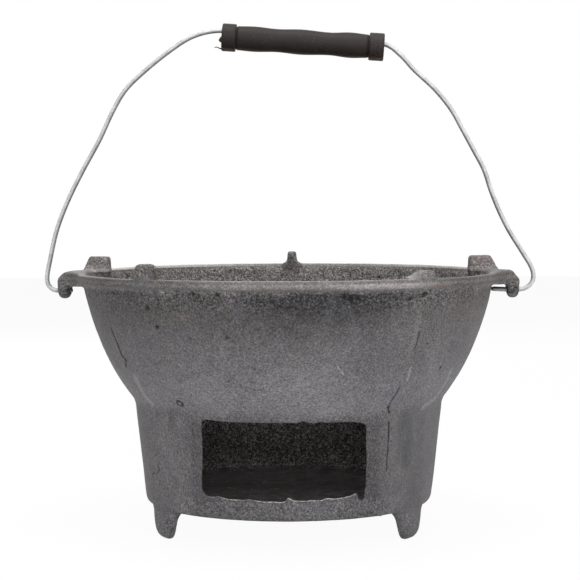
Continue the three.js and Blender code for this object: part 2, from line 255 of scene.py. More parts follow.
# The stove body: ash drum, fire bowl, lip, pot rests, ears and feet are one grey-iron casting. It
# was poured in damp sand, which leaves a pitted skin, soft edges and thin fins of iron where the
# halves of the mould met. The air door was left open by a core, so its edges are ragged.
stove_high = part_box("stove_body")[1] / mm
lip_radius = stove_high.y
rest_height = 10.1
rim_top = stove_high.z - rest_height
wall = 4.5
foot_height = 19
drum_bottom_radius = 96.2
drum_top_radius = 102.9
drum_top = 85.5
base_chamfer = (3.4, 5)
floor_top = 25.5
floor_fillet = 4
crease = (1.6, 4.1)
lip_height = 5.4
lip_overhang = 4
lip_width = 6.1
lip_rounding = 1.8
lip_cove = 3.4
belly_shares = (0.69, 0.369)
parting_at_lip = (1.2, 4)
round_steps = 5
wall_steps = 26
turn_steps = 240
weld = 0.01 * mm


def bend(start, corner, end, steps):
    """A round stretch of (radius, height) points, drawn towards the corner."""
    start, corner, end = (Vector((*p, 0)) for p in (start, corner, end))
    pulls = (start + (corner - start) * 2 / 3, end + (corner - end) * 2 / 3)
    return [p.xy for p in interpolate_bezier(start, *pulls, end, steps + 1)]


def moved_left(points, distance):
    """A line of points moved sideways, to the left of its own direction."""
    moved = []
    for number, here in enumerate(points):
        along = points[min(number + 1, len(points) - 1)] - points[max(number - 1, 0)]
        moved.append(here + Vector((-along.y, along.x)).normalized() * distance)
    return moved


def radius_on(points, height):
    """The radius of a rising line of points at a height."""
    for below, above in zip(points, points[1:]):
        if above.y >= height:
            return below.x + (height - below.y) / (above.y - below.y) * (above.x - below.x)
    return points[-1].x


bowl_bottom = Vector((drum_top_radius + crease[0], drum_top + crease[1]))
bowl_top = Vector((lip_radius - lip_overhang, rim_top - lip_height))
belly_corner = Vector(
    low + share * (high - low) for low, high, share in zip(bowl_bottom, bowl_top, belly_shares)
)
outer_wall = [
    Vector((drum_bottom_radius, foot_height + base_chamfer[1])),
    Vector((drum_top_radius, drum_top)),
    *bend(bowl_bottom, belly_corner, bowl_top, wall_steps),
]
inner_wall = moved_left(outer_wall, wall)
lip_inner_radius = lip_radius - lip_width
# Inner faces are told from outer ones by a line in the middle of the wall, up to a place inside the lip.
middle_wall = [
    *moved_left(outer_wall, wall / 2),
    Vector((lip_inner_radius + parting_at_lip[0], rim_top - parting_at_lip[1])),
]


def turned(shape, profile, steps):
    """Turns a profile of (radius, height) points in millimetres about the Z axis."""
    verts = [shape.verts.new(Vector((radius, 0, height)) * mm) for radius, height in profile]
    edges = [shape.edges.new(pair) for pair in zip(verts, verts[1:])]
    bmesh.ops.spin(shape, geom=verts + edges, axis=(0, 0, 1), cent=(0, 0, 0), steps=steps,
                   angle=math.tau, use_merge=True)


def finished(shape, name):
    """The object that a finished bmesh makes, with its faces turned outwards."""
    bmesh.ops.remove_doubles(shape, verts=shape.verts, dist=weld)
    bmesh.ops.recalc_face_normals(shape, faces=shape.faces)
    mesh = bpy.data.meshes.new(name)
    shape.to_mesh(mesh)
    shape.free()
    return shown(mesh, name)


def worked(piece, *modifiers):
    """Puts each (kind, settings) on a piece in turn, and makes the result its mesh."""
    for kind, settings in modifiers:
        modifier = piece.modifiers.new(kind, kind)
        for name, setting in settings.items():
            setattr(modifier, name, setting)
    seen = piece.evaluated_get(bpy.context.evaluated_depsgraph_get())
    mesh = bpy.data.meshes.new_from_object(seen)
    mesh.name = piece.name
    piece.modifiers.clear()
    piece.data = mesh
    return piece


def cut_by(piece, cutter):
    """Cuts a closed piece by another, which is then thrown away."""
    worked(piece, ("BOOLEAN", {"operation": "DIFFERENCE", "object": cutter, "solver": "EXACT"}))
    bpy.data.objects.remove(cutter)


# The profile runs from the middle of the underside out, up the outer face, over the lip and down the
# inner face to the middle of the floor.
base_radius = drum_bottom_radius - base_chamfer[0]
cove_foot = bowl_top.y - lip_cove
fillet_top = floor_top + floor_fillet
shell_shape = bmesh.new()
turned(shell_shape, [
    (0, foot_height),
    (base_radius - 1, foot_height),
    *bend((base_radius, foot_height + 0.1), (drum_bottom_radius - 0.4, foot_height + 0.6),
          (drum_bottom_radius, foot_height + base_chamfer[1]), round_steps),
    *[p for p in outer_wall[1:] if p.y < cove_foot],
    *bend((radius_on(outer_wall, cove_foot), cove_foot), (bowl_top.x + 0.2, bowl_top.y - 0.8),
          (lip_radius - lip_rounding, bowl_top.y - 0.4), round_steps),
    *bend((lip_radius - lip_rounding / 2, bowl_top.y - 0.2), (lip_radius, bowl_top.y),
          (lip_radius, bowl_top.y + lip_rounding), round_steps),
    *bend((lip_radius, rim_top - lip_rounding), (lip_radius, rim_top),
          (lip_radius - lip_rounding, rim_top), round_steps),
    *bend((lip_inner_radius + lip_rounding, rim_top), (lip_inner_radius, rim_top),
          (lip_inner_radius - lip_rounding / 2, rim_top - lip_rounding), round_steps),
    *[p for p in reversed(inner_wall) if p.y > floor_top + 2 * floor_fillet],
    *bend((radius_on(inner_wall, fillet_top), fillet_top), (radius_on(inner_wall, floor_top), floor_top),
          (radius_on(inner_wall, floor_top) - floor_fillet, floor_top), round_steps),
    (0, floor_top),
], turn_steps)
shell = finished(shell_shape, "turned_shell")

# The door's outline as the core left it, across and up, from the lower left corner round by the sill.
# The core reached well past the drum's face.
door_outline = [
    (-47.9, 33.7), (-45, 33.6), (-42, 34.3), (-38, 33.5), (-34, 32.8), (-30, 33), (-26, 32.8),
    (-22.6, 33.5), (-19, 32.9), (-15, 32.9), (-12, 32.4), (-8, 32.6), (-2.5, 32.2), (0.8, 32.5),
    (2.2, 34.6), (3.6, 35.6), (5, 33.9), (7, 33.1), (14.3, 32.8), (17, 33.4), (20, 33), (23.5, 32.9),
    (25.5, 33.9), (28, 34.2), (31.5, 33.5), (34, 33.7), (37.5, 34.2), (41.9, 34.8), (45.2, 36.6),
    (45.9, 35.4), (46.7, 31.6), (49.6, 31.4), (50.2, 36.6), (50.8, 44), (51.2, 51), (51.4, 60),
    (50.9, 70), (51.2, 76.5), (50.8, 79.7), (47.8, 81.1), (43.1, 81.9), (38.1, 82.2), (33, 82.5),
    (29.3, 82.1), (26, 82.2), (23.1, 82.9), (19, 82), (15.4, 82.3), (13.6, 83.4), (11, 83.6),
    (9.4, 82.3), (0, 82.5), (-12, 82.4), (-21, 82.4), (-30.5, 82.2), (-38.8, 82.5), (-45.3, 82.9),
    (-50.8, 82.9), (-52, 81.2), (-52.1, 73.4), (-51.7, 63), (-52.2, 50.7), (-52.4, 42), (-52.3, 37.6),
    (-50.6, 34.8),
]
core_overrun = 12
door_shape = bmesh.new()
door_face = door_shape.faces.new(
    [door_shape.verts.new(Vector((x, -drum_top_radius - core_overrun, z)) * mm) for x, z in door_outline]
)
door_depth = bmesh.ops.extrude_face_region(door_shape, geom=[door_face])["geom"]
bmesh.ops.translate(
    door_shape,
    verts=[v for v in door_depth if isinstance(v, bmesh.types.BMVert)],
    vec=Vector((0, drum_top_radius / 2 + core_overrun, 0)) * mm,
)
cut_by(shell, finished(door_shape, "door_core"))


def stacked(shape, rings, around=28, squareness=1.0):
    """A closed solid through rings, each a place and the two half sizes that it spans, in millimetres.
    A squareness under 1 fills the ring's corners."""
    last = []
    for number, (place, first, second) in enumerate(rings):
        capped = number in (0, len(rings) - 1)
        ring = bmesh.ops.create_circle(shape, cap_ends=capped, segments=around, radius=1)["verts"]
        edges = {edge for vert in ring for edge in vert.link_edges}
        for vert in ring:
            x, y = (math.copysign(abs(c) ** squareness, c) for c in vert.co.xy)
            vert.co = (Vector(place) + Vector(first) * x + Vector(second) * y) * mm
        if last:
            bmesh.ops.bridge_loops(shape, edges=last + list(edges))
        last = list(edges)


def standing(shape, azimuth, rows, base, squareness):
    """A solid at an azimuth. Rows: height over its base, inner radius, outer radius, width and lean."""
    before = set(shape.verts)
    stacked(shape, [
        ((0.5 * (inner + outer), lean, base + height), (0.5 * (outer - inner), 0, 0), (0, width / 2, 0))
        for height, inner, outer, width, lean in rows
    ], squareness=squareness)
    added = [vert for vert in shape.verts if vert not in before]
    turn = Matrix.Rotation(math.radians(azimuth), 3, "Z")
    bmesh.ops.rotate(shape, verts=added, cent=(0, 0, 0), matrix=turn)


# Three feet hang from the drum's edge. Rows: height, inner radius, outer radius, width.
foot_rows = [
    (0, 88.2, 91.6, 8.4),
    (0.9, 87.8, 93.2, 12.4),
    (2.7, 87.4, 94.6, 16.2),
    (5.3, 87.2, 95.6, 19.4),
    (9.5, 87, 95.9, 22.8),
    (13.3, 86.6, 95.9, 24.9),
    (16, 85.6, 95.8, 27.2),
    (18, 84, 95.6, 29),
    (19.6, 82, 95.5, 34),
    (21.5, 81.5, 95.3, 36),
]
foot_azimuths = [90, 210, 330]
foot_squareness = 0.55

# Pot rests stand on ribs in the bowl. Rows: height over the rim, inner and outer radius, and width.
rib_rows = [(-32, 127.6, 130, 7), (-22, 126.7, 132, 8.4), (-5, 126.8, 138.5, 8.8)]
flush_rib_rows = [(-32, 131.5, 132.5, 6), (-22, 131.5, 134, 10), (-5, 131.8, 138.5, 14)]
back_rest = [(0, 131.2, 141.6, 15), (1, 130.6, 141.2, 9.8), (2.6, 130.5, 141, 7.6),
             (7.8, 130.6, 140.8, 6.7), (9, 131.8, 139.8, 5.4)]
left_rest = [(0, 125.4, 145.2, 11.4), (2.4, 125.7, 143.9, 8.2), (8.2, 126, 141.4, 7.2),
             (9.7, 127, 140.4, 6)]
right_rest = [(0, 126, 148, 11.8), (2.4, 126.3, 146.3, 8.6), (8.1, 126.7, 143.2, 7.2),
              (9.8, 127.9, 141.6, 6)]
domed_rest = [(0, 126.6, 141.3, 11.8), (2.4, 127, 141.1, 10.6), (6.4, 127.2, 140.9, 10.3),
              (8.5, 128.2, 140.2, 8.8), (9.4, 130.4, 138.4, 5.2)]
low_rest = [(0, 127.2, 141.2, 21), (1.6, 127.6, 141, 15.4), (3.7, 128.2, 140.6, 9.4), (4.9, 130, 139, 5)]
rest_rows = [
    # azimuth, rows of the rib and of the rest above the rim, squareness, and how far each row of it leans
    (12, rib_rows, right_rest, 0.5, (0, 0, 0, 0)),
    (90, flush_rib_rows, back_rest, 0.5, (0, 0, 0, 0, 0)),
    (168, rib_rows, left_rest, 0.5, (0, 0, 0, 0)),
    (230.5, rib_rows, domed_rest, 0.6, (0, 0, 0, 0, 0)),
    (310, rib_rows, low_rest, 0.6, (-2, -0.2, 1.6, 1.7)),
]

# An ear reaches out from the lip and turns down into a lug with a hole for the wire's end.
ear_reach = stove_high.x
ear_root_rows = [
    # distance out at the underside and at the top, half width, underside, top
    (133.2, 136.9, 44, rim_top - 8.2, rim_top + 0.5),
    (135.4, 138.4, 35, rim_top - 8.8, rim_top + 0.8),
    (138.4, 140.2, 27, rim_top - 9.2, rim_top + 1.1),
    (142.2, 142.8, 19.5, rim_top - 9.4, rim_top + 1.1),
    (146.2, 146.6, 13.8, rim_top - 9.4, rim_top + 0.9),
]
round_ear_rows = [
    (150.2, 150, 10.8, rim_top - 9.4, rim_top + 0.4),
    (152.8, 152.1, 9.8, rim_top - 9.2, rim_top - 0.9),
    (155.2, 154.6, 8.2, rim_top - 8, rim_top - 3.6),
]
bevelled_ear_rows = [
    (151.2, 151, 10.8, rim_top - 8.9, rim_top + 0.9),
    (153.6, 153.2, 9.8, rim_top - 9.2, rim_top - 1.7),
    (156, 155.9, 8.2, rim_top - 8.4, rim_top - 5.6),
]
lug_rows = [
    # height, thickness, width
    (rim_top - 4, 8.6, 17),
    (rim_top - 9.6, 8.9, 19),
    (rim_top - 13.7, 8.5, 17.3),
    (rim_top - 15.4, 7.6, 14.2),
    (rim_top - 16.8, 6, 9.6),
    (rim_top - 17.7, 3.4, 4),
]
ear_squareness = 0.42
right_ear_arch = 0.7
left_ear_shortfall = 0.8
lug_squareness = 0.55
lug_inset = 4.5
ear_hole_radius = 2.8
ear_hole_height = 161.5
ear_hole_length = 11.4
ear_grain = 0.6 * mm


def ear(azimuth, tip_rows, reach, arch):
    """An ear at an azimuth, whose underside is arched upwards by some millimetres near the bowl."""
    shape = bmesh.new()
    root_rows = [(under, over, half, low + arch, high) for under, over, half, low, high in ear_root_rows]
    rings = []
    for under, over, half, low, high in root_rows + tip_rows:
        middle = (0.5 * (under + over), 0, 0.5 * (low + high))
        rings.append((middle, (0, half, 0), (0.5 * (over - under), 0, 0.5 * (high - low))))
    stacked(shape, rings, squareness=ear_squareness)
    lug_middle = reach - lug_inset
    stacked(shape, [
        ((lug_middle, 0, height), (thickness / 2, 0, 0), (0, width / 2, 0))
        for height, thickness, width in lug_rows
    ], squareness=lug_squareness)
    piece = finished(shape, "ear")
    worked(piece, ("REMESH", {"mode": "VOXEL", "voxel_size": ear_grain}))
    hole = bmesh.new()
    hole_middle = Matrix.Translation(Vector((lug_middle, 0, ear_hole_height)) * mm)
    bmesh.ops.create_cone(hole, cap_ends=True, segments=24, radius1=ear_hole_radius * mm,
                          radius2=ear_hole_radius * mm, depth=ear_hole_length * mm,
                          matrix=hole_middle @ Matrix.Rotation(math.pi / 2, 4, "Y"))
    cut_by(piece, finished(hole, "ear_hole"))
    piece.data.transform(Matrix.Rotation(math.radians(azimuth), 4, "Z"))
    return piece


casting_shape = bmesh.new()
for azimuth in foot_azimuths:
    standing(casting_shape, azimuth, [(*row, 0) for row in foot_rows], 0, foot_squareness)
for azimuth, rib, rest, squareness, leans in rest_rows:
    rows = [(*row, lean) for row, lean in zip([*rib, *rest], [*[0] * len(rib), *leans])]
    standing(casting_shape, azimuth, rows, rim_top, squareness)
bmesh.ops.recalc_face_normals(casting_shape, faces=casting_shape.faces)
right_ear = ear(0, bevelled_ear_rows, ear_reach, right_ear_arch)
left_ear = ear(180, round_ear_rows, ear_reach - left_ear_shortfall, 0)
for piece in [shell, right_ear, left_ear]:
    casting_shape.from_mesh(piece.data)
    bpy.data.objects.remove(piece)
casting = finished(casting_shape, "stove_casting")

sand_grain = 0.9 * mm
most_triangles = 190_000
worked(
    casting,
    ("REMESH", {"mode": "VOXEL", "voxel_size": sand_grain}),
    ("SMOOTH", {"factor": 0.5, "iterations": 2}),
)

# Fins of iron along the mould's joints, as (height, azimuth in degrees), and how high they stand.
seams = [
    ([(19, -49.3), (45, -49.6), (66, -49.4), (86, -50), (90, -51.2), (95, -51.4), (102, -50.4),
      (108, -48.4), (116, -48.5), (126, -49.1), (136, -49.4), (154, -49.8), (160, -49.8)], 0.5),
    ([(110, -146.4), (113.6, -147), (119, -146.4), (127, -147.8), (136, -148), (144, -148.6)], 0.55),
    ([(19, 131), (60, 130), (88, 130.6), (120, 130), (160, 130)], 0.45),
]
seam_width = 1.1
seam_reach = 4
seam_share = 0.65
seam_waver = 0.7
seam_waver_size = 5

# The right half of the mould had spread: how far the casting bulges there, at each height.
spread_rows = [(0, 0.9), (22, 0.8), (32, 1.1), (82, 1.1), (98, 0.7), (156, 0.8), (165, 0.3), (183, 0)]
spread_reach = 145

# The lip is high at the back: by how much, and over which heights and depths that grows.
back_lift = 1.2
lift_heights = (150, 168)
lift_depths = (-40, 110)

# The skin's waves and pits, each with its size and its height, and how far it lies below the pattern.
skin_waves = [(26, 0.12), (9, 0.08)]
inner_pits = (3.4, 0.2)
outer_pits = (3.4, 0.06)
skin_sink = 0.1
inner_sink = 0.12
inner_heights = (foot_height + 3, rim_top - 1.6)
flat_sole_height = 4

# Blow holes in the skin: place, reach and depth in millimetres. One, by the door, is ring-shaped.
dimples = [
    ((-107.6, -84.4, 162.8), 0.9, 0.5), ((-91.4, -99.8, 156.9), 0.8, 0.5),
    ((-84.2, -105.4, 155.1), 1.5, 0.8), ((-78, -105.8, 142.9), 1.3, 0.6),
    ((-56.7, -116.3, 136.6), 0.9, 0.5), ((-54.3, -126.1, 165), 1.1, 0.7),
    ((-38.8, -131.5, 164.2), 1.1, 0.7), ((-19.6, -135.9, 165), 0.9, 0.5),
    ((-33.8, -125.2, 137.7), 1.1, 0.7), ((99.4, -68, 113.9), 1.3, 0.6),
    ((87.2, -105.5, 162.8), 1.3, 0.7), ((78, -111.8, 160.4), 1.2, 0.6),
    ((37.6, -131.4, 162.2), 1.2, 0.7), ((41.6, -130.3, 161.2), 1.4, 0.9), ((46, -128.8, 162), 1.1, 0.7),
    ((-78.7, -61.1, 55.6), 0.8, 0.4), ((65.6, -83, 90.4), 0.9, 0.6), ((66.6, -80, 86.6), 0.8, 0.5),
]
ring_pit = (-66.3, -83.9, 92.7)
ring_pit_radius = 2.5
ring_pit_width = 0.8
ring_pit_depth = 0.55
ring_mark_radius = ring_pit_radius * 0.85


def on_line(rows, height):
    """The second value of a table of rows at a height, or None beyond its ends."""
    for (low, first), (high, second) in zip(rows, rows[1:]):
        if low <= height <= high:
            return first + (height - low) / (high - low) * (second - first)
    return None


def share_between(value, low, high):
    """How far a value has come on the way from low to high, from 0 to 1."""
    return min(1, max(0, (value - low) / (high - low)))


def mould_shift(place):
    """How far a point of the casting lies from where a true casting would have it."""
    x, y, z = place / mm
    radius = math.hypot(x, y)
    out = (on_line(spread_rows, z) or 0) * max(0, x / max(radius, 1)) ** 2 * (radius < spread_reach)
    lift = back_lift * share_between(z, *lift_heights) * share_between(y, *lift_depths)
    return Vector((out * x / max(radius, 1), out * y / max(radius, 1), lift)) * mm


def is_inside(place):
    """Whether a point of the casting lies on the bowl's or the ash drum's inner face."""
    height = place.z / mm
    lowest, highest = inner_heights
    return lowest < height < highest and place.xy.length / mm < radius_on(middle_wall, height)


def uneven(place, waves, sink):
    """The height of a skin of these waves at a place, sunk by so much, in millimetres."""
    depth = -sink
    for size, height in waves:
        depth += noise.noise(place / (size * mm)) * height
    return depth


def skin_depth(place):
    """How far the sand's unevenness takes the surface in, and the seams bring it out, in metres."""
    inside = is_inside(place)
    depth = min(0, uneven(place, [*skin_waves, inner_pits if inside else outer_pits], skin_sink))
    if inside:
        depth -= inner_sink
    else:
        azimuth = math.degrees(math.atan2(place.y, place.x))
        for rows, fin in seams:
            middle = on_line(rows, place.z / mm)
            if middle is not None and abs(azimuth - middle) < seam_reach:
                off = math.radians(azimuth - middle) * place.xy.length / mm
                ragged = seam_share + seam_waver * noise.noise(place / (seam_waver_size * mm))
                depth += fin * ragged * math.exp(-(off / seam_width) ** 2)
        for spot, reach, sunk in dimples:
            away = (place / mm - Vector(spot)).length
            if away < 3 * reach:
                depth -= sunk * math.exp(-(away / reach) ** 2)
        away = (place / mm - Vector(ring_pit)).length
        depth -= ring_pit_depth * math.exp(-((away - ring_pit_radius) / ring_pit_width) ** 2)
    return depth * mm * min(1, place.z / (flat_sole_height * mm))


def weathered(piece, shift_at, depth_at):
    """Moves each point of a piece by the shift there, and along its normal by the depth there."""
    shape = bmesh.new()
    shape.from_mesh(piece.data)
    shape.normal_update()
    for vert, move in [(v, v.normal * depth_at(v.co) + shift_at(v.co)) for v in shape.verts]:
        vert.co += move
    shape.to_mesh(piece.data)
    shape.free()


def marked_inside(piece, test):
    """Notes on each point of a piece, for its material, whether it is on an inner face."""
    inner_face = piece.data.attributes.new("inner_face", "FLOAT", "POINT")
    inner_face.data.foreach_set("value", [float(test(vert.co)) for vert in piece.data.vertices])


weathered(casting, mould_shift, skin_depth)
triangles = sum(len(face.vertices) - 2 for face in casting.data.polygons)
if triangles > most_triangles:
    worked(casting, ("DECIMATE", {"ratio": most_triangles / triangles}))
casting.data.shade_smooth()
marked_inside(casting, is_inside)

# Cracks, gouges, the seam's dark foot and two broad darker bands down the drum: a line of places, half
# its width, and how dark it is.
dark_lines = [
    ([(86, -102.7, 151.6), (85.6, -101.9, 148.6)], 0.5, 0.25),
    ([(84.1, -99.5, 139.3), (82.5, -97.5, 132.2), (81.5, -97, 129.2)], 0.5, 0.5),
    ([(72.9, -88.8, 104.7), (67.2, -85, 94.6), (65.3, -82.6, 90.6), (66.2, -79.3, 86.4)], 0.55, 0.62),
    ([(65.6, -78.6, 80.7), (65.1, -76.3, 61.5), (64, -75.4, 49)], 0.45, 0.55),
    ([(-111, -68, 138.9), (-107.7, -67.2, 130.1), (-104.9, -65.8, 122.4), (-101.6, -67.9, 118.8)],
     1.05, 0.8),
    ([(-101.6, -67.9, 118.8), (-102.7, -62.3, 114.4)], 0.8, 0.6),
    ([(-83.3, -53.3, 49.8), (-82.4, -54.3, 46.6), (-84, -51.1, 43.4)], 0.5, 0.42),
    ([(-85.7, -48, 43.4), (-88, -42.8, 41.8), (-86.9, -44.5, 36.8)], 0.5, 0.36),
    ([(-31.5, -112.9, 108.8), (-26, -113.7, 107.7)], 0.4, 0.26),
    ([(-18.2, -113.3, 104.6), (-11.9, -114.2, 104.6)], 0.4, 0.26),
    ([(100.4, -68, 120.4), (99.2, -67.7, 113.9)], 0.7, 0.2),
    ([(101.8, -40, 96.2), (106.6, -44, 103)], 0.6, 0.2),
    ([(37.5, -131.4, 162), (45, -129, 161.6)], 0.8, 0.06),
    ([(76, -113, 160.6), (88.4, -104.8, 162.8)], 1.4, 0.16),
    ([(-71.4, -53, 16.3), (-72.5, -53.6, 11.6), (-73.5, -54, 7)], 0.7, 0.2),
    ([(77, -67.9, 79), (77, -63.9, 57)], 7, 0.16),
    ([(-72.4, -73, 86), (-73, -70.4, 75)], 3.4, 0.1),
]
# Pale scratches and marks, and painted highlights where the bowl's crease above the drum catches light at
# both sides: a line of places, half its width, and how light it is.
pale_lines_and_painted_highlights = [
    ([(79.1, -91.5, 116.6), (77, -88, 108.3)], 0.8, 0.34),
    ([(82, -101, 150), (77, -95.5, 124)], 2.2, 0.1),
    ([(33.4, -117.9, 119.5), (37.3, -113.8, 113.6)], 0.4, 0.5),
    ([(-95.9, -65.6, 107.1), (-92.8, -60.5, 98.1), (-86.8, -59.2, 90.3)], 2.5, 0.27),
    ([(88.4, -54.1, 87.3), (96.5, -43.8, 91.5), (103.9, -46, 103), (106.8, -50.8, 110.7)], 2.3, 0.25),
    ([(46, -122.6, 142.2), (43, -124, 142)], 2.2, 0.12),
    ([(99, -86, 152), (98.4, -77.8, 124)], 10, 0.06),
    ([(72.8, -52, 16.7), (73.7, -52, 14)], 1, 0.2),
]
blue_lines = [
    ([(73.4, -86.4, 102), (68, -82.8, 92.4)], 1.9, 0.6),
    ([(77.6, -67.5, 79), (77.6, -63.5, 57)], 8, 0.14),
    ([(-92, -106, 169), (-84, -110, 168.4)], 4.5, 0.2),
]
rust_lines = [
    ([(90.6, -103.7, 167.8), (100.4, -94.2, 167.9)], 1.4, 0.5),
    ([(-60.5, -118.2, 151), (-56, -120, 149.6)], 4, 0.08),
    ([(126, 27, 182), (136, 29, 181)], 6, 0.2),
]
# A distance through the face counts this many times less than one along it.
face_squeeze = 10


def beside(place, points):
    """The distance along the casting's face from a line of places in millimetres."""
    middle = sum((Vector(point) for point in points), Vector()) / len(points)
    azimuth = math.atan2(middle.y, middle.x)
    local = place.node("ShaderNodeMapping", {"vector_type": "TEXTURE"}, {
        "Vector": place, "Location": middle * mm, "Rotation": (0, 0, azimuth),
        "Scale": (face_squeeze, 1, 1),
    })
    ends = [Matrix.Rotation(-azimuth, 3, "Z") @ (Vector(point) - middle) * mm for point in points]
    for end in ends:
        end.x /= face_squeeze
    nearest = None
    for start, end in zip(ends, ends[1:]):
        span = end - start
        offset = local.vector("SUBTRACT", start)
        share = (offset.vector("DOT_PRODUCT", span, 1) / span.length_squared).highest(0).lowest(1)
        foot = place.node("ShaderNodeVectorMath", {"operation": "SCALE"}, {0: span, "Scale": share})
        away = offset.vector("DISTANCE", foot, 1)
        nearest = nearest.lowest(away) if nearest else away
    return nearest


def marked(place, lines):
    """How strongly each place is marked by any of these lines."""
    strongest = None
    for points, half, strength in lines:
        mark = (1 - beside(place, points).between(0.5 * half * mm, 1.5 * half * mm)) * strength
        strongest = strongest.highest(mark) if strongest else mark
    return strongest


iron_dark = (0.0085, 0.0081, 0.0084, 1)
iron_light = (0.508, 0.486, 0.505, 1)
brown_cast = (1.06, 1.02, 0.93)
cool_tint = (0.125, 0.126, 0.152, 1)
blue_tint = (0.125, 0.134, 0.16, 1)
rust_tint = (0.2, 0.125, 0.1, 1)
plain_tone = 0.495
wander_size = 4 * mm
wander_reach = 1.6 * mm


